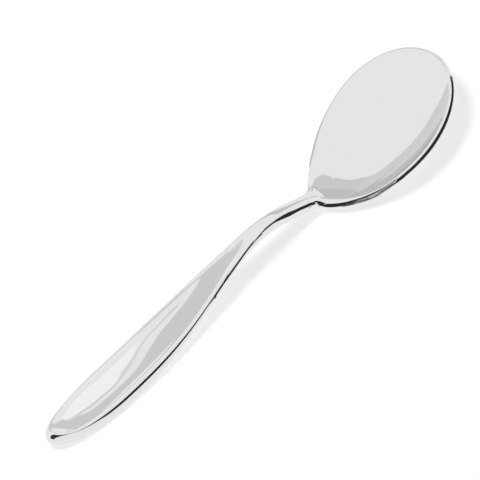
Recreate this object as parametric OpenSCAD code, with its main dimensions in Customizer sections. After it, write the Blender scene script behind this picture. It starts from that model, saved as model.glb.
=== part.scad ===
// Teaspoon, pressed and polished from one blank of stainless steel.
// X runs along the spoon, from the tip of the handle to the tip of the bowl, and Z is up.
// The origin is on the table, under the middle of the spoon.

/* [Handle] */
// Length of the handle, from its tip to the start of the bowl
handle_l = 88; // [78:1:100]
// Width of the handle at its widest place
handle_w = 14.6; // [10:0.1:20]
// Distance from the tip of the handle to its widest place
handle_wide_at = 22; // [18:1:30]
// Fullness of the rounded tip of the handle, 2 is an ellipse
tip_fullness = 2.15; // [2:0.05:3]
// Depth of the shallow dish pressed into the top of the handle
dish_depth = 1.2; // [0.1:0.1:1.5]
// Distance from the tip of the handle to the deepest place of the dish
dish_at = 25; // [18:1:32]
// Length over which the dish fades out towards the neck
dish_fade_l = 46; // [30:1:58]
// How far the underside of the handle swells below its edges
belly_depth = 0.2; // [0.1:0.1:0.6]

/* [Neck] */
// Width of the neck at its narrowest place
neck_w = 4.7; // [3:0.1:6]
// Length of the narrow neck before the bowl
neck_l = 4; // [3:0.5:8]
// Length from the waist of the handle, where its edge is lowest, to the neck
waist_l = 23; // [16:1:30]
// Size of the round where the neck meets the rim of the bowl
shoulder_round = 0.94; // [0.2:0.02:1.5]

/* [Bowl] */
// Length of the bowl
bowl_l = 48.7; // [42:0.1:58]
// Width of the bowl, between the edges of its rim
bowl_w = 32.5; // [28:0.1:38]
// Distance from the tip of the bowl to its widest place
bowl_wide_at = 20.1; // [17:0.1:24]
// Exponent of the bowl's outline towards the neck, 2 is an ellipse and less is more pointed
bowl_near_root = 1.22; // [1.1:0.02:1.8]
// Depth of the bowl below its rim
bowl_depth = 6; // [5:0.1:8]
// Fullness of the bowl's wall, 0 is a paraboloid
bowl_fullness = 0.2; // [0:0.05:0.5]

/* [Side profile] */
// Height of the arch of the handle above the table, at its edge line, if it ran on without the bend
arch_h = 10.6; // [8:0.1:14]
// Distance from the tip of the handle to where it rests on the table
rest_at = 16.3; // [12:0.1:24]
// Length over which the handle rises from the table to the full height of the arch
arch_l = 73.4; // [64:0.1:84]
// How far the tip of the handle curves up from the table
tip_lift = 2.2; // [0:0.1:3]
// Distance from the tip of the handle to the bend down to the bowl
bend_at = 75.9; // [70:0.1:80]
// Angle of the bend down to the bowl, in degrees
bend_angle = 29.6; // [24:0.1:34]
// Size of the round of the bend
bend_round = 6.4; // [3:0.1:9]
// Size of the round where the neck runs into the rim, seen from the side
valley_round = 1.35; // [0.6:0.05:2.5]
// Upward tilt of the rim from the neck to the tip of the bowl, in degrees
rim_tilt = 11.3; // [8:0.1:13]
// How far the ends of the rim curve down from its middle
rim_arch = 1.2; // [0:0.1:2]

/* [Rounded edge] */
// How far the rounding of the handle's edge reaches inward
handle_edge_in = 1.7; // [1:0.1:2.4]
// Height of the handle's edge above its edge line
handle_edge_up = 2.7; // [2:0.1:3.6]
// Height of the edge above its edge line at the waist of the handle
waist_edge_up = 1.1; // [0.8:0.1:2]
// Depth of the handle's edge below its edge line
handle_edge_down = 0.6; // [0.4:0.05:1]
// Depth of the edge below its edge line at the waist of the handle
waist_edge_down = 0.5; // [0.4:0.05:1]
// Height of the neck above its edge line
neck_up = 2.5; // [2:0.1:3.6]
// Depth of the neck below its edge line
neck_down = 0.9; // [0.6:0.1:1.5]
// How far the rounding of the rim reaches inward
rim_in = 0.5; // [0.4:0.05:1]
// Height of the rim above its edge line, square to the wall
rim_up = 0.6; // [0.4:0.05:1]
// Depth of the rim below its edge line, square to the wall
rim_down = 1.1; // [0.6:0.05:1.5]
// Squareness of the handle's rounded edge, 2 is round
edge_squareness = 2.3; // [2:0.1:3]
// Squareness of the rim's rounded edge, 2 is round
rim_squareness = 2.5; // [2:0.1:3]

/* [Hidden] */

// Lengths, from the start of the bowl, over which its rim takes over from the neck.
rim_lead = 5;
rim_settle = 18;
shoulder_reach = 10;

// The hollow starts just behind the neck, with this exponent along its length. The underside follows it over
// a longer way, so the metal thins out behind the neck.
hollow_start = 2;
hollow_start_power = 1.25;
hollow_ramp_under = 16;

// Places along the spoon, measured from the tip of the handle.
spoon_l = handle_l + bowl_l;
neck_at = handle_l - neck_l;
waist_at = neck_at - waist_l;
bowl_wide_x = spoon_l - bowl_wide_at;
bowl_near_l = bowl_wide_x - handle_l;
rim_start = handle_l + rim_lead;
rim_full = handle_l + rim_settle;

// The grid lines fan out from these places inside the two rounded ends and behind the shoulders.
handle_fan_l = 7;
bowl_fan_l = 12;
shoulder_fan_l = 6;
shoulder_fan_opens = 0.1;

// The most of a grid line that the rounded edge may take up, and the spacing of the bowl's height samples.
edge_share = 0.96;
sample_step = 0.5;

// Steps of the grid along the outline and across it.
tip_steps = 15;
handle_steps = 24;
neck_steps = 18;
near_steps = 9;
end_steps = 16;
edge_steps = 5;
inner_steps = 7;
slope_step = 0.02;

function clamp01(u) = max(0, min(1, u));

// Rises from 0 to 1 with no slope and no curvature at either end.
function ease(u) = let (c = clamp01(u)) c * c * c * (10 - 15 * c + 6 * c * c);
function mix(a, b, u) = a + (b - a) * ease(u);

// The larger of a and b, with a round of the size soft where they meet.
function larger(a, b, soft) = (a + b + sqrt(pow(a - b, 2) + soft * soft)) / 2;

// A value that eases from the handle to the waist, the neck and the rim along the spoon.
function along(x, handle, waist, neck, rim) =
    x < waist_at ? mix(handle, waist, (x - handle_wide_at) / (waist_at - handle_wide_at))
    : x < neck_at ? mix(waist, neck, (x - waist_at) / (neck_at - waist_at))
    : mix(neck, rim, (x - neck_at) / (rim_full - neck_at));
function edge_in(x) = along(x, handle_edge_in, handle_edge_in, neck_w / 2, rim_in);
function edge_up(x) = along(x, handle_edge_up, waist_edge_up, neck_up, rim_up);
function edge_down(x) = along(x, handle_edge_down, waist_edge_down, neck_down, rim_down);
function squareness(x) = along(x, edge_squareness, edge_squareness, edge_squareness, rim_squareness);

// Half widths of the outline: a leaf for the handle and an egg for the bowl.
function handle_half(x) =
    x < handle_wide_at
    ? handle_w / 2 * pow(1 - pow(clamp01(1 - x / handle_wide_at), 2), 1 / tip_fullness)
    : mix(handle_w / 2, neck_w / 2, (x - handle_wide_at) / (neck_at - handle_wide_at));
function bowl_half(x) =
    x < bowl_wide_x
    ? bowl_w / 2 * pow(1 - pow(clamp01((bowl_wide_x - x) / bowl_near_l), 2), 1 / bowl_near_root)
    : bowl_w / 2 * sqrt(1 - pow(clamp01((x - bowl_wide_x) / bowl_wide_at), 2));

// The two outlines run into each other with a small round at the shoulder.
function half_width(x) =
    let (handle = handle_half(x) * (1 - ease((x - rim_start) / bowl_near_l)))
    let (near_neck = ease((x - neck_at) / neck_l) * ease((rim_full + neck_l - x) / neck_l))
    larger(handle, bowl_half(x), shoulder_round * near_neck);

// A parabola across the spoon: 1 on the middle line and 0 at the distance half from it.
function across(y, half) = clamp01(1 - pow(y / max(half, slope_step), 2));

// Depth of the bowl's hollow, and share of the depth of the handle's dish, at a place on the plan.
function hollow_along(x) =
    x < bowl_wide_x
    ? pow(1 - pow(clamp01((bowl_wide_x - x) / (bowl_near_l - hollow_start)), 2), hollow_start_power)
    : 1 - pow(clamp01((x - bowl_wide_x) / bowl_wide_at), 2);
function hollow(x, y) =
    let (inside = hollow_along(x) * across(y, bowl_half(x)))
    bowl_depth * inside * (1 + bowl_fullness * (1 - inside));
function hollow_under(x, y) = hollow(x, y) * ease((x - handle_l) / hollow_ramp_under);
function dish_along(x) =
    x < dish_at ? 1 - pow(clamp01(1 - x / dish_at), 2) : 1 - ease((x - dish_at) / dish_fade_l);
function dish(x, y) = dish_along(x) * across(y, handle_half(x));

// Height of the edge line along the spoon. The bowl is set so that its underside just reaches the table.
function rim_line(x) =
    tan(rim_tilt) * (x - bowl_wide_x) - rim_arch * pow((x - bowl_wide_x) / bowl_wide_at, 2);
bowl_lift = rim_down
    - min([for (x = [rim_start:sample_step:spoon_l]) rim_line(x) - hollow_under(x, 0)]);
rest_h = handle_edge_down + belly_depth;
function past_bend(x) = larger(x - bend_at, 0, bend_round) - larger(-bend_at, 0, bend_round);
function arch_line(x) =
    tip_lift * pow(clamp01(1 - x / rest_at), 3) + mix(rest_h, arch_h, (x - rest_at) / arch_l);
function edge_h(x) =
    larger(arch_line(x) - tan(bend_angle) * past_bend(x), bowl_lift + rim_line(x), valley_round);
function top_h(x, y) = edge_h(x) - hollow(x, y) - dish_depth * dish(x, y);
function under_h(x, y) = edge_h(x) - hollow_under(x, y) - belly_depth * dish(x, y);

// A point of the skin: up or down from the height given for its place on the plan, square to the slope there.
function skin(x, y, h, hx, hy, t) =
    let (gx = (hx - h) / slope_step, gy = (hy - h) / slope_step)
    let (n = t / sqrt(1 + gx * gx + gy * gy))
    [x - gx * n, y - gy * n, h + n];
function top_skin(x, y, t) =
    skin(x, y, top_h(x, y), top_h(x + slope_step, y), top_h(x, y + slope_step), t);
function under_skin(x, y, t) =
    skin(x, y, under_h(x, y), under_h(x + slope_step, y), under_h(x, y + slope_step), t);

// Stations on one side of the outline, each as [place on the outline, place on the middle line].
shoulder_to = handle_l + shoulder_reach;
function shoulder_foot(x) =
    let (u = clamp01((x - handle_l) / bowl_near_l))
    x + shoulder_fan_l * pow(1 - u, 2) * ease(u / shoulder_fan_opens);
stations = [
    for (i = [0:tip_steps - 1])
        [handle_wide_at * (1 - cos(90 * i / tip_steps)),
         handle_fan_l + (handle_wide_at - handle_fan_l) * i / tip_steps],
    for (i = [0:handle_steps - 1])
        let (x = handle_wide_at + (neck_at - handle_wide_at) * i / handle_steps) [x, x],
    for (i = [0:neck_steps - 1])
        let (x = neck_at + (shoulder_to - neck_at) * i / neck_steps) [x, shoulder_foot(x)],
    for (i = [0:near_steps - 1])
        let (x = shoulder_to + (bowl_wide_x - shoulder_to) * i / near_steps) [x, shoulder_foot(x)],
    for (i = [0:end_steps])
        [bowl_wide_x + bowl_wide_at * sin(90 * i / end_steps),
         bowl_wide_x + (bowl_wide_at - bowl_fan_l) * i / end_steps]
];
last = len(stations) - 1;
columns = 2 * last;
rows = edge_steps + inner_steps;

// Column c runs up one side of the outline and back down the other.
function station_of(c) = c <= last ? c : columns - c;
function side_of(c) = c <= last ? 1 : -1;

// Point on row r of column c: row 0 is the edge line, the last row is the middle line, and the rows of the
// edge follow a quarter of a squared-off ellipse.
function grid_point(r, c, under) =
    let (x0 = stations[station_of(c)][0])
    let (x1 = stations[station_of(c)][1])
    let (w = station_of(c) == 0 || station_of(c) == last ? 0 : half_width(x0))
    let (span = norm([x1 - x0, w]))
    let (reach = min(edge_in(x0), edge_share * span))
    let (turn = 90 * min(1, r / edge_steps))
    let (inner = max(0, r - edge_steps) / inner_steps)
    let (lift = pow(sin(turn), 2 / squareness(x0)))
    let (inward = 1 - pow(cos(turn), 2 / squareness(x0)))
    let (share = (reach * inward + (span - reach) * inner) / span)
    let (x = x0 + share * (x1 - x0))
    let (y = r == rows ? 0 : side_of(c) * w * (1 - share))
    under ? under_skin(x, y, -lift * edge_down(x)) : top_skin(x, y, lift * edge_up(x));

// The rows in order: top from the edge line inward, its middle line, then the same underneath.
top_middle = rows * columns;
under_first = top_middle + last + 1;
under_middle = under_first + (rows - 1) * columns;
skin_points = concat(
    [for (r = [0:rows - 1], c = [0:columns - 1]) grid_point(r, c, false)],
    [for (c = [0:last]) grid_point(rows, c, false)],
    [for (r = [1:rows - 1], c = [0:columns - 1]) grid_point(r, c, true)],
    [for (c = [0:last]) grid_point(rows, c, true)]
);
function top_index(r, c) = r == rows ? top_middle + station_of(c) : r * columns + c;
function under_index(r, c) =
    r == 0 ? c
    : r == rows ? under_middle + station_of(c)
    : under_first + (r - 1) * columns + c;
skin_faces = [
    for (r = [0:rows - 1], c = [0:columns - 1])
        let (d = (c + 1) % columns)
        let (a = top_index(r, c), b = top_index(r, d))
        let (e = top_index(r + 1, d), f = top_index(r + 1, c))
        each [[a, b, e], [a, e, f]],
    for (r = [0:rows - 1], c = [0:columns - 1])
        let (d = (c + 1) % columns)
        let (a = under_index(r, c), b = under_index(r, d))
        let (e = under_index(r + 1, d), f = under_index(r + 1, c))
        each [[a, e, b], [a, f, e]]
];

// The box of the skin, which puts the origin on the table under the middle of the spoon.
low_x = min([for (p = skin_points) p[0]]);
high_x = max([for (p = skin_points) p[0]]);
low_z = min([for (p = skin_points) p[2]]);

// The whole spoon: handle, neck and bowl in one piece of steel.
module spoon() {
    color([0.785, 0.779, 0.77])
        translate([-(low_x + high_x) / 2, 0, -low_z])
            polyhedron(points = skin_points, faces = skin_faces, convexity = 6);
}

spoon();
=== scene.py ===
import bpy
import numpy as np
from mathutils import Matrix, Vector


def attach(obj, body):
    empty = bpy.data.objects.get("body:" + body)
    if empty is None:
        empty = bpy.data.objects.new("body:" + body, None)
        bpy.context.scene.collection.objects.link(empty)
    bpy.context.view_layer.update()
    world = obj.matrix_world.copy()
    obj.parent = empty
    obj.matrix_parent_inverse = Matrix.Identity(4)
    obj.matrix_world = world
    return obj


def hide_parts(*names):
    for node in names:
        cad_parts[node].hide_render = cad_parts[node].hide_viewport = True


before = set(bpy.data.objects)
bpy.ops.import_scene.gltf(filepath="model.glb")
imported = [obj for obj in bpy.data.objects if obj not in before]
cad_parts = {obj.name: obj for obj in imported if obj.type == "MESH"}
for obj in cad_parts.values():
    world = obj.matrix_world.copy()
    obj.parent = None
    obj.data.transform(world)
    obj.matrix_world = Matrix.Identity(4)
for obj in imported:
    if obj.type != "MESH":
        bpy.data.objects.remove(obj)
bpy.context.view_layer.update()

# The teaspoon is one piece of stainless steel: blanked from strip, rolled thin at the bowl, cut to
# outline, pressed between two dies and polished all over. Its handle is a leaf with a shallow dish
# and a rounded border, its neck a slim rod, and its bowl an egg-shaped hollow with a thin rim.
handle_l = 0.088
handle_w = 0.0146
handle_wide_at = 0.022
dish_depth = 0.0012
dish_at = 0.025
dish_fade_l = 0.046
belly_depth = 0.0002
tip_fullness = 2.15
waist_l = 0.023
neck_w = 0.0047
neck_l = 0.004
shoulder_round = 0.00094
bowl_l = 0.0487
bowl_w = 0.0325
bowl_wide_at = 0.0201
bowl_depth = 0.0060
bowl_fullness = 0.2
bowl_near_root = 1.22
arch_h = 0.0106
rest_at = 0.0163
arch_l = 0.0734
bend_at = 0.0759
bend_angle = 29.6
bend_round = 0.0064
valley_round = 0.00135
tip_lift = 0.0022
rim_tilt = 11.3
rim_arch = 0.0012
handle_edge_in = 0.0017
handle_edge_up = 0.0027
waist_edge_up = 0.0011
handle_edge_down = 0.0006
waist_edge_down = 0.0005
neck_up = 0.0025
neck_down = 0.0009
rim_in = 0.0005
rim_up = 0.0006
rim_down = 0.0011
edge_squareness = 2.3
rim_squareness = 2.5

rim_lead = 0.005
rim_settle = 0.018
shoulder_reach = 0.010
hollow_start = 0.002
hollow_start_power = 1.25
hollow_ramp_under = 0.016
handle_fan_l = 0.007
bowl_fan_l = 0.012
shoulder_fan_l = 0.006
shoulder_fan_opens = 0.1
edge_share = 0.96
sample_step = 0.0005
slope_step = 0.00001

spoon_l = handle_l + bowl_l
neck_at = handle_l - neck_l
waist_at = neck_at - waist_l
bowl_wide_x = spoon_l - bowl_wide_at
bowl_near_l = bowl_wide_x - handle_l
rim_start = handle_l + rim_lead
rim_full = handle_l + rim_settle


def clamp01(u):
    """u held between 0 and 1."""
    return np.clip(u, 0.0, 1.0)


def ease(u):
    """Rises from 0 to 1 with no slope and no curvature at either end: u^3 (10 - 15 u + 6 u^2)."""
    c = clamp01(u)
    return c**3 * (10 - 15 * c + 6 * c * c)


def mix(a, b, u):
    """Eases from a to b as u goes from 0 to 1."""
    return a + (b - a) * ease(u)


def along(x, handle, waist, neck, rim):
    """A value that eases from the handle to the waist, the neck and the rim along the spoon."""
    to_waist = mix(handle, waist, (x - handle_wide_at) / (waist_at - handle_wide_at))
    to_neck = mix(waist, neck, (x - waist_at) / (neck_at - waist_at))
    to_rim = mix(neck, rim, (x - neck_at) / (rim_full - neck_at))
    return np.where(x < waist_at, to_waist, np.where(x < neck_at, to_neck, to_rim))


def handle_half(x):
    """Half width of the handle: nearly half an ellipse at the tip, easing to the neck after it."""
    tip = (1 - clamp01(1 - x / handle_wide_at) ** 2) ** (1 / tip_fullness)
    taper = mix(handle_w / 2, neck_w / 2, (x - handle_wide_at) / (neck_at - handle_wide_at))
    return np.where(x < handle_wide_at, handle_w / 2 * tip, taper)


def bowl_half(x):
    """Half width of the bowl: a pointed arch towards the neck and half an ellipse at the tip."""
    near = (1 - clamp01((bowl_wide_x - x) / bowl_near_l) ** 2) ** (1 / bowl_near_root)
    far = np.sqrt(1 - clamp01((x - bowl_wide_x) / bowl_wide_at) ** 2)
    return bowl_w / 2 * np.where(x < bowl_wide_x, near, far)


def larger(a, b, soft):
    """The larger of a and b, with a round of the size soft where they meet."""
    return (a + b + np.sqrt((a - b) ** 2 + soft**2)) / 2


def half_width(x):
    """The wider of the two outlines, with a small round where they run into each other."""
    handle = handle_half(x) * (1 - ease((x - rim_start) / bowl_near_l))
    near_neck = ease((x - neck_at) / neck_l) * ease((rim_full + neck_l - x) / neck_l)
    return larger(handle, bowl_half(x), shoulder_round * near_neck)


def hollow(x, y):
    """Depth of the bowl below its rim: e (1 + k (1 - e)), where e is a rounded share along the bowl
    times a parabola across it, and falls from 1 to 0 at the rim."""
    to_neck = clamp01((bowl_wide_x - x) / (bowl_near_l - hollow_start))
    to_tip = clamp01((x - bowl_wide_x) / bowl_wide_at)
    lengthwise = np.where(x < bowl_wide_x, (1 - to_neck**2) ** hollow_start_power, 1 - to_tip**2)
    half = np.maximum(bowl_half(x), slope_step)
    inside = lengthwise * clamp01(1 - (y / half) ** 2)
    return bowl_depth * inside * (1 + bowl_fullness * (1 - inside))


def dish(x, y):
    """Share of the handle's dish: a parabola across the handle, times a parabola from the tip to its
    deepest place and an easing from there towards the neck."""
    from_tip = 1 - clamp01(1 - x / dish_at) ** 2
    to_neck = 1 - ease((x - dish_at) / dish_fade_l)
    half = np.maximum(handle_half(x), slope_step)
    return np.where(x < dish_at, from_tip, to_neck) * clamp01(1 - (y / half) ** 2)


rim_rise = np.tan(np.radians(rim_tilt))


def rim_line(x):
    """Height of the rim along the bowl: a tilted line less a shallow parabola."""
    return rim_rise * (x - bowl_wide_x) - rim_arch * ((x - bowl_wide_x) / bowl_wide_at) ** 2


bowl_x = np.arange(rim_start, spoon_l, sample_step)
thinning = ease((bowl_x - handle_l) / hollow_ramp_under)
bowl_lift = rim_down - (rim_line(bowl_x) - hollow(bowl_x, 0.0) * thinning).min()
rest_h = handle_edge_down + belly_depth


def edge_h(x):
    """Height of the edge line: up a little at the tip, over the arch, and down a bend to the rim."""
    tip = tip_lift * clamp01(1 - x / rest_at) ** 3
    arch = tip + mix(rest_h, arch_h, (x - rest_at) / arch_l)
    past_bend = larger(x - bend_at, 0.0, bend_round) - larger(-bend_at, 0.0, bend_round)
    fall = np.tan(np.radians(bend_angle)) * past_bend
    return larger(arch - fall, bowl_lift + rim_line(x), valley_round)


def top_h(x, y):
    """Height of the upper side, before its rounded edge is added."""
    return edge_h(x) - hollow(x, y) - dish_depth * dish(x, y)


def under_h(x, y):
    """Height of the underside, before its rounded edge is added."""
    thinning = ease((x - handle_l) / hollow_ramp_under)
    return edge_h(x) - hollow(x, y) * thinning - belly_depth * dish(x, y)


def skin(height, x, y, t):
    """Points at the distance t from a height field, square to its slope."""
    gx = (height(x + slope_step, y) - height(x - slope_step, y)) / (2 * slope_step)
    gy = (height(x, y + slope_step) - height(x, y - slope_step)) / (2 * slope_step)
    n = t / np.sqrt(1 + gx**2 + gy**2)
    return np.stack([x - gx * n, y - gy * n, height(x, y) + n], axis=-1)


def shoulder_foot(x):
    """Place on the middle line for a place on the outline: the grid lines fan out at the shoulder."""
    u = clamp01((x - handle_l) / bowl_near_l)
    return x + shoulder_fan_l * (1 - u) ** 2 * ease(u / shoulder_fan_opens)


def shares(steps):
    """Even shares from 0 up to, but without, 1."""
    return np.arange(steps) / steps


tip_steps, handle_steps, neck_steps, near_steps, end_steps = 60, 96, 80, 44, 64
edge_steps, inner_steps = 18, 26

tip_u, end_u = shares(tip_steps), np.append(shares(end_steps), 1.0)
shoulder_to = handle_l + shoulder_reach
handle_x = handle_wide_at + (neck_at - handle_wide_at) * shares(handle_steps)
neck_x = neck_at + (shoulder_to - neck_at) * shares(neck_steps)
near_x = shoulder_to + (bowl_wide_x - shoulder_to) * shares(near_steps)
outline_x = np.concatenate(
    [
        handle_wide_at * (1 - np.cos(np.pi / 2 * tip_u)),
        handle_x,
        neck_x,
        near_x,
        bowl_wide_x + bowl_wide_at * np.sin(np.pi / 2 * end_u),
    ]
)
middle_x = np.concatenate(
    [
        handle_fan_l + (handle_wide_at - handle_fan_l) * tip_u,
        handle_x,
        shoulder_foot(neck_x),
        shoulder_foot(near_x),
        bowl_wide_x + (bowl_wide_at - bowl_fan_l) * end_u,
    ]
)
outline_y = half_width(outline_x)
outline_y[[0, -1]] = 0.0

# Rows run from the edge line inward. The edge is a quarter of a squared-off ellipse, above and below.
rows = edge_steps + inner_steps
row = np.arange(rows + 1)[:, None]
turn = np.pi / 2 * np.minimum(1, row / edge_steps)
squareness = along(outline_x, edge_squareness, edge_squareness, edge_squareness, rim_squareness)
lift = np.sin(turn) ** (2 / squareness)
inward = 1 - clamp01(np.cos(turn)) ** (2 / squareness)
span = np.hypot(middle_x - outline_x, outline_y)
edge_in = along(outline_x, handle_edge_in, handle_edge_in, neck_w / 2, rim_in)
reach = np.minimum(edge_in, edge_share * span)
share = (reach * inward + (span - reach) * np.maximum(0, row - edge_steps) / inner_steps) / span
grid_x = outline_x + share * (middle_x - outline_x)
grid_y = outline_y * (1 - share)
grid_y[-1] = 0.0
edge_up = along(grid_x, handle_edge_up, waist_edge_up, neck_up, rim_up)
edge_down = along(grid_x, handle_edge_down, waist_edge_down, neck_down, rim_down)

# Columns run up one side of the outline and back down the other, and meet on the middle line.
last = len(outline_x) - 1
column = np.arange(2 * last)
station = np.where(column <= last, column, 2 * last - column)
side = np.where(column <= last, 1.0, -1.0)
top = skin(top_h, grid_x[:, station], grid_y[:, station] * side, (lift * edge_up)[:, station])
under = skin(under_h, grid_x[:, station], grid_y[:, station] * side, (-lift * edge_down)[:, station])
points = np.concatenate(
    [
        top[:rows].reshape(-1, 3),
        top[rows, : last + 1],
        under[1:rows].reshape(-1, 3),
        under[rows, : last + 1],
    ]
)
columns = 2 * last
top_rows = np.arange(rows * columns).reshape(rows, columns)
top_middle = rows * columns + station
under_first = rows * columns + last + 1
under_rows = under_first + np.arange((rows - 1) * columns).reshape(rows - 1, columns)
under_middle = under_first + (rows - 1) * columns + station
top_index = np.vstack([top_rows, top_middle])
under_index = np.vstack([top_rows[:1], under_rows, under_middle])


def grid_faces(index):
    """Quads between neighbouring rows and columns of a grid that closes on itself."""
    beside = np.roll(index, -1, axis=1)
    quads = np.stack([index[:-1], index[1:], beside[1:], beside[:-1]], axis=-1)
    return quads.reshape(-1, 4)


faces = np.concatenate([grid_faces(top_index), grid_faces(under_index)[:, ::-1]])
middle_of_l = (points[:, 0].min() + points[:, 0].max()) / 2
lowest = points[:, 2].min()
points -= (middle_of_l, 0.0, lowest)

spoon_mesh = bpy.data.meshes.new("teaspoon_skin")
spoon_mesh.from_pydata(points.tolist(), [], faces.tolist())
spoon_mesh.shade_smooth()
spoon_mesh.update()
teaspoon = bpy.data.objects.new("teaspoon_skin", spoon_mesh)
bpy.context.scene.collection.objects.link(teaspoon)

steel_color = (0.785, 0.779, 0.77, 1.0)
polish_scale = (120.0, 2400.0, 2400.0)
polish_noise_scale = 1.0
polish_detail = 3.0
polish_roughness = (0.03, 0.07)

steel = bpy.data.materials.new("polished_steel")
steel.use_nodes = True
steel_nodes, steel_links = steel.node_tree.nodes, steel.node_tree.links
steel_shader = steel_nodes["Principled BSDF"]
steel_shader.inputs["Base Color"].default_value = steel_color
steel_shader.inputs["Metallic"].default_value = 1.0
steel_place = steel_nodes.new("ShaderNodeTexCoord")
polish_map = steel_nodes.new("ShaderNodeMapping")
polish_map.inputs["Scale"].default_value = polish_scale
polish_lines = steel_nodes.new("ShaderNodeTexNoise")
polish_lines.inputs["Scale"].default_value = polish_noise_scale
polish_lines.inputs["Detail"].default_value = polish_detail
polish_range = steel_nodes.new("ShaderNodeMapRange")
polish_range.inputs["To Min"].default_value = polish_roughness[0]
polish_range.inputs["To Max"].default_value = polish_roughness[1]
steel_links.new(steel_place.outputs["Object"], polish_map.inputs["Vector"])
steel_links.new(polish_map.outputs["Vector"], polish_lines.inputs["Vector"])
steel_links.new(polish_lines.outputs["Fac"], polish_range.inputs["Value"])
steel_links.new(polish_range.outputs["Result"], steel_shader.inputs["Roughness"])
spoon_mesh.materials.append(steel)

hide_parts("spoon")
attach(teaspoon, "root")

# The floor is a plain white studio table that runs far past the picture. It glows towards the camera and
# the steel alone, so that it looks white and keeps the spoon's shadow.
floor_half = 3.0
floor_color = (0.62, 0.62, 0.62, 1.0)
floor_glow = 0.604


def seen_directly(nodes, links):
    """1 for rays from the camera and for rays off or through a shiny thing, otherwise 0."""
    path = nodes.new("ShaderNodeLightPath")
    camera_or_glossy = nodes.new("ShaderNodeMath")
    camera_or_glossy.operation = "MAXIMUM"
    seen = nodes.new("ShaderNodeMath")
    seen.operation = "MAXIMUM"
    links.new(path.outputs["Is Camera Ray"], camera_or_glossy.inputs[0])
    links.new(path.outputs["Is Glossy Ray"], camera_or_glossy.inputs[1])
    links.new(camera_or_glossy.outputs["Value"], seen.inputs[0])
    links.new(path.outputs["Is Transmission Ray"], seen.inputs[1])
    return seen.outputs["Value"]


def stage_card(name, corners, faces=None):
    """A card with the faces given, or else one flat face through all the corners."""
    mesh = bpy.data.meshes.new(name)
    mesh.from_pydata(corners, [], faces or [tuple(range(len(corners)))])
    card = bpy.data.objects.new(name, mesh)
    bpy.context.scene.collection.objects.link(card)
    return card


floor = stage_card(
    "floor",
    [
        (-floor_half, -floor_half, 0.0),
        (floor_half, -floor_half, 0.0),
        (floor_half, floor_half, 0.0),
        (-floor_half, floor_half, 0.0),
    ],
)
white_table = bpy.data.materials.new("white_table")
white_table.use_nodes = True
table_nodes, table_links = white_table.node_tree.nodes, white_table.node_tree.links
table_nodes.clear()
table_diffuse = table_nodes.new("ShaderNodeBsdfDiffuse")
table_diffuse.inputs["Color"].default_value = floor_color
table_glow = table_nodes.new("ShaderNodeEmission")
table_strength = table_nodes.new("ShaderNodeMath")
table_strength.operation = "MULTIPLY"
table_strength.inputs[1].default_value = floor_glow
table_sum = table_nodes.new("ShaderNodeAddShader")
table_out = table_nodes.new("ShaderNodeOutputMaterial")
table_links.new(seen_directly(table_nodes, table_links), table_strength.inputs[0])
table_links.new(table_strength.outputs["Value"], table_glow.inputs["Strength"])
table_links.new(table_diffuse.outputs["BSDF"], table_sum.inputs[0])
table_links.new(table_glow.outputs["Emission"], table_sum.inputs[1])
table_links.new(table_sum.outputs["Shader"], table_out.inputs["Surface"])
floor.data.materials.append(white_table)

# The light is a white room with one softbox overhead. The softbox throws the shadow on the floor, and the
# steel reflects the room without it.
room_color = (1.0, 1.0, 1.0, 1.0)
room_light = 0.275
softbox_w = 0.2
softbox_energy = 1.5
softbox_at = Vector((0.02, 0.06, 0.60))

studio = bpy.data.worlds.new("white_room")
bpy.context.scene.world = studio
studio.use_nodes = True
studio_nodes, studio_links = studio.node_tree.nodes, studio.node_tree.links
studio_nodes.clear()
studio_white = studio_nodes.new("ShaderNodeMapRange")
studio_white.inputs["To Min"].default_value = room_light
studio_back = studio_nodes.new("ShaderNodeBackground")
studio_back.inputs["Color"].default_value = room_color
studio_out = studio_nodes.new("ShaderNodeOutputWorld")
studio_links.new(seen_directly(studio_nodes, studio_links), studio_white.inputs["Value"])
studio_links.new(studio_white.outputs["Result"], studio_back.inputs["Strength"])
studio_links.new(studio_back.outputs["Background"], studio_out.inputs["Surface"])

lamp_data = bpy.data.lights.new("softbox", "AREA")
lamp_data.shape = "RECTANGLE"
lamp_data.size = softbox_w
lamp_data.size_y = softbox_w
lamp_data.energy = softbox_energy
lamp = bpy.data.objects.new("softbox", lamp_data)
bpy.context.scene.collection.objects.link(lamp)
lamp.location = softbox_at
lamp.rotation_euler = (-softbox_at).to_track_quat("-Z", "Y").to_euler()
lamp.visible_camera = False
lamp.visible_glossy = False

# Studio cards of even tone shape what the polished steel shows, and nothing else sees them. Their outlines
# come from mirror rays followed from the camera off the steel, rounded and moved to suit this view.
# White sheets hang over the bowl, the handle and the neck, and a brighter one shows in the handle's dish.
sheet_glow = 1.0
lens_glow = 1.11
card_h = 0.08
handle_sheet_h = 0.15
lens_h = 0.1485
neck_card_h = 0.05
bowl_sheet_corners = [
    (-0.044, -0.062), (0.0, -0.055), (0.07, -0.05), (0.11, -0.04), (0.067, 0.021), (0.062, 0.055),
    (0.057, 0.090), (0.046, 0.122), (0.027, 0.230), (0.010, 0.246), (-0.019, 0.316), (-0.032, 0.12),
    (-0.030, 0.02), (-0.044, 0.0),
]
handle_sheet_corners = [
    (-0.6, -0.15), (0.02, -0.15), (0.02, 0.10), (-0.033, 0.117), (-0.056, 0.155), (-0.068, 0.163),
    (-0.072, 0.110), (-0.077, 0.090), (-0.084, 0.086), (-0.092, 0.092), (-0.110, 0.100), (-0.112, 0.30),
    (-0.20, 0.44), (-0.6, 0.44),
]
lens_edge = [
    (-0.0652, 0.069), (-0.064, 0.084), (-0.0632, 0.099), (-0.0625, 0.110), (-0.0575, 0.118),
    (-0.054, 0.1135), (-0.044, 0.1065), (-0.015, 0.101),
]
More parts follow.
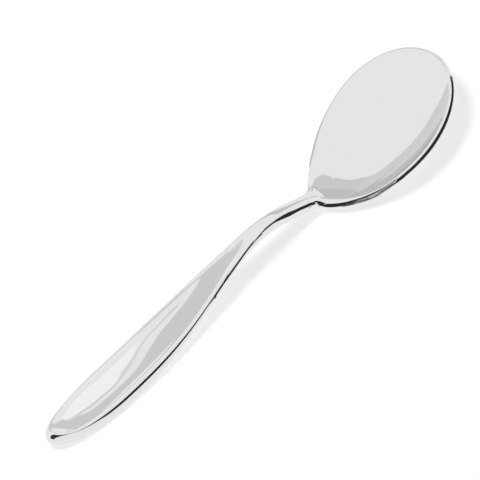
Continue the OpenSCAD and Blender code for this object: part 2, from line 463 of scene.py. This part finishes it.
lens_corners = [
    (0.016, 0.101), *lens_edge[::-1], (-0.066, 0.040), (-0.055, 0.042), (-0.041, 0.049), (-0.025, 0.065),
    (0.0, 0.085), (0.016, 0.095),
]
neck_edge = [
    (-0.020, 0.0315), (-0.025, 0.033), (-0.029, 0.0343), (-0.0335, 0.0372), (-0.037, 0.0412),
    (-0.0395, 0.0445),
]
neck_white_corners = [
    (0.015, 0.0225), (0.0, 0.0282), (-0.011, 0.0298), *neck_edge, (-0.0395, 0.10), (0.015, 0.10),
]


def glow_card(name, corners, glow, faces=None):
    """A card of one even tone that only the polished steel sees."""
    card = stage_card(name, corners, faces)
    tone = bpy.data.materials.new(name)
    tone.use_nodes = True
    tone.node_tree.nodes.clear()
    light = tone.node_tree.nodes.new("ShaderNodeEmission")
    light.inputs["Strength"].default_value = glow
    out = tone.node_tree.nodes.new("ShaderNodeOutputMaterial")
    tone.node_tree.links.new(light.outputs["Emission"], out.inputs["Surface"])
    card.data.materials.append(tone)
    card.visible_camera = False
    card.visible_diffuse = False
    card.visible_shadow = False


def level_card(name, h, corners, glow):
    """A flat card that lies at the height h, from its corners in x and y."""
    glow_card(name, [(x, y, h) for x, y in corners], glow)


level_card("bowl_sheet", card_h, bowl_sheet_corners, sheet_glow)
level_card("handle_sheet", handle_sheet_h, handle_sheet_corners, sheet_glow)
level_card("lens_glow", lens_h, lens_corners, lens_glow)
level_card("neck_white", neck_card_h, neck_white_corners, sheet_glow)

# A grey cloth hangs behind the spoon, with a darker foot beside it that shows in the bowl. Smaller greys are
# a fold along the bright sheet, a patch beside the white one over the neck, and one past the bowl's tip.
cloth_glow = 0.74
cloth_foot_glow = 0.656
cloth_y = 0.45
cloth_foot_y = 0.448
fold_h = 0.149
cloth_edge = [(0.20, 0.0), (0.20, 0.17), (0.25, 0.22), (0.30, 0.26), (0.47, 0.36), (0.75, 0.40)]
cloth_corners = [
    *cloth_edge, (0.75, 0.75), (-0.75, 0.75), (-0.75, 0.28), (-0.03, 0.28), (-0.03, 0.115),
    (-0.127, 0.085), (-0.16, 0.0),
]
cloth_foot_corners = [
    (0.063, 0.0), (0.083, 0.059), (0.128, 0.113), (0.177, 0.217), (0.255, 0.363), (0.443, 0.663),
    (0.65, 0.715), (0.75, 0.74), *cloth_edge[::-1],
]
fold_corners = [
    (0.016, 0.1065), (-0.015, 0.107), (-0.044, 0.116), (-0.054, 0.125), (-0.0585, 0.129), (-0.063, 0.123),
    (-0.0648, 0.111), (-0.065, 0.099), (-0.0658, 0.084), (-0.0668, 0.071), (-0.0695, 0.057),
    (-0.075, 0.0605), (-0.081, 0.065), (-0.088, 0.077), (-0.0875, 0.071), (-0.081, 0.0595),
    (-0.075, 0.0555), (-0.0687, 0.0525), *lens_edge, (0.016, 0.1015),
]
neck_grey_corners = [
    (-0.0445, 0.052), (-0.0445, 0.029), (-0.0405, 0.0295), (-0.039, 0.0303), (-0.0365, 0.0305),
    (-0.0335, 0.0303), (-0.025, 0.0308), (-0.020, 0.0296), (-0.016, 0.0294), (-0.010, 0.0295),
    *neck_edge, (-0.0405, 0.052),
]
corner_grey_corners = [(0.095, 0.036), (0.113, 0.036), (0.130, 0.060), (0.17, 0.12), (0.10, 0.12)]


def upright_card(name, y, corners, glow):
    """A flat card that stands along the spoon at the depth y, from its corners in x and z."""
    glow_card(name, [(x, y, z) for x, z in corners], glow)


upright_card("grey_cloth", cloth_y, cloth_corners, cloth_glow)
upright_card("cloth_foot", cloth_foot_y, cloth_foot_corners, cloth_foot_glow)
level_card("sheet_fold", fold_h, fold_corners, cloth_glow)
level_card("neck_grey", neck_card_h, neck_grey_corners, cloth_glow)
level_card("corner_grey", handle_sheet_h, corner_grey_corners, cloth_glow)

# Dark flags stand in front of the spoon and past its ends, and small ones close to the neck and the bowl's
# near shoulder. They draw the black line along the near edge and the black spot at the handle's tip. The
# dark card that lies on the floor under the bowl's near shoulder is painted shade: the steel shows it as the
# shadow under the bowl.
flag_glow = 0.03
bowl_flag_y = -0.032
rim_flag_y = -0.020
tip_flag_x = 0.1
neck_flag_x = -0.012
shoulder_flag_h = 0.02
painted_floor_shade_h = 0.0004
front_flag_corners = [(-0.09, -0.08), (0.0, -0.055), (0.0, -0.2), (-0.09, -0.2)]
side_flag_corners = [(-0.07, -0.045), (-0.07, 0.01), (-0.45, 0.03), (-0.45, -0.16)]
bowl_flag_corners = [(0.024, 0.003), (0.024, 0.03), (0.07, 0.03), (0.1, 0.033), (0.1, 0.003)]
post_flag_corners = [
    (-0.015, 0.003), (-0.015, 0.024), (0.0105, 0.028), (0.0105, 0.018), (0.0, 0.018), (-0.004, 0.003),
]
rim_flag_corners = [(0.0262, 0.0035), (0.0262, 0.010), (0.040, 0.012), (0.040, 0.005)]
tip_flag_corners = [(-0.032, 0.003), (-0.032, 0.033), (-0.002, 0.033), (-0.002, 0.003)]
neck_flag_corners = [(-0.034, 0.0005), (-0.034, 0.028), (-0.012, 0.028), (-0.012, 0.0005)]
shoulder_flag_corners = [
    (0.0, -0.017), (0.010, -0.008), (0.0225, -0.008), (0.0275, -0.0105), (0.031, -0.0135),
    (0.033, -0.016), (0.028, -0.022),
]
# Painted shade: a dark card lying on the floor under the bowl's near shoulder, which the steel shows as the
# shadow under the bowl.
painted_floor_shade_corners = [
    (0.0225, -0.0070), (0.0265, -0.0073), (0.0290, -0.0100), (0.0310, -0.0123), (0.0332, -0.0126),
    (0.0315, -0.0180), (0.0315, -0.0210), (0.0240, -0.0205), (0.0225, -0.0110),
]


def crosswise_card(name, x, corners, glow):
    """A flat card that stands across the spoon at the place x, from its corners in y and z."""
    glow_card(name, [(x, y, z) for y, z in corners], glow)


level_card("front_flag", card_h, front_flag_corners, flag_glow)
level_card("side_flag", card_h, side_flag_corners, flag_glow)
upright_card("bowl_flag", bowl_flag_y, bowl_flag_corners, flag_glow)
upright_card("post_flag", bowl_flag_y, post_flag_corners, flag_glow)
upright_card("rim_flag", rim_flag_y, rim_flag_corners, flag_glow)
crosswise_card("tip_flag", tip_flag_x, tip_flag_corners, flag_glow)
crosswise_card("neck_flag", neck_flag_x, neck_flag_corners, flag_glow)
level_card("shoulder_flag", shoulder_flag_h, shoulder_flag_corners, flag_glow)
# The dark card on the floor is painted shade under the bowl, seen only in the steel.
level_card("painted_floor_shade", painted_floor_shade_h, painted_floor_shade_corners, flag_glow)

# Two grey strips stand close behind the bowl's far rim, a darker one by the shoulder and a lighter one round
# the rest. They draw the rim's thin outline and the upper edge of the band in the bowl.
strip_glow = 0.78
strip_start = 0.005
strip_lead = 0.011
shoulder_strip_l = 0.012
strip_spread = 1.05
strip_drop = 0.001
strip_h = 0.0116
strip_steps = 32

strip_from = handle_l + strip_start
strip_split = strip_from + shoulder_strip_l


def far_rim_strip(name, start, end, glow):
    """A strip behind the far rim, in steps that shorten towards its end. Its foot is the bowl's outline
    spread about its widest place, just under the rim, and its head eases from the foot to a level edge."""
    x = end - (end - start) * (1 - np.linspace(0.0, 1.0, strip_steps + 1)) ** 2
    spread_x = bowl_wide_x + (x - bowl_wide_x) * strip_spread
    foot_h = edge_h(x) - strip_drop - lowest
    head_h = mix(foot_h, np.maximum(strip_h, foot_h), (x - strip_from) / strip_lead)
    foot = np.stack([spread_x - middle_of_l, bowl_half(x) * strip_spread, foot_h], axis=-1)
    head = np.stack([foot[:, 0], foot[:, 1], head_h], axis=-1)
    low = np.arange(strip_steps)
    high = low + strip_steps + 1
    strip_faces = np.stack([low, low + 1, high + 1, high], axis=-1)
    glow_card(name, np.concatenate([foot, head]).tolist(), glow, strip_faces.tolist())


far_rim_strip("shoulder_strip", strip_from, strip_split, cloth_foot_glow)
far_rim_strip("rim_strip", strip_split, spoon_l, strip_glow)

# The camera looks down on the spoon's long side through a long lens, and is rolled so that the spoon
# lies across the picture from corner to corner.
camera_elevation = np.radians(55.0)
camera_roll = np.radians(42.1)
camera_distance = 0.8
sensor_w = 36.0
picture_px = 480
px_per_m = 3986.0
aim = Vector((0.0010, 0.0045, 0.005))

camera_data = bpy.data.cameras.new("camera")
camera_data.sensor_width = sensor_w
camera_data.lens = sensor_w * px_per_m * camera_distance / picture_px
camera = bpy.data.objects.new("camera", camera_data)
bpy.context.scene.collection.objects.link(camera)
back = Vector((0.0, -np.cos(camera_elevation), np.sin(camera_elevation)))
level_up = Vector((0.0, np.sin(camera_elevation), np.cos(camera_elevation)))
level_right = Vector((1.0, 0.0, 0.0))
right = level_right * np.cos(camera_roll) - level_up * np.sin(camera_roll)
up = level_right * np.sin(camera_roll) + level_up * np.cos(camera_roll)
camera.matrix_world = Matrix.Translation(aim + back * camera_distance) @ (
    Matrix((right, up, back)).transposed().to_4x4()
)
bpy.context.scene.camera = camera
bpy.context.scene.view_settings.view_transform = "Standard"
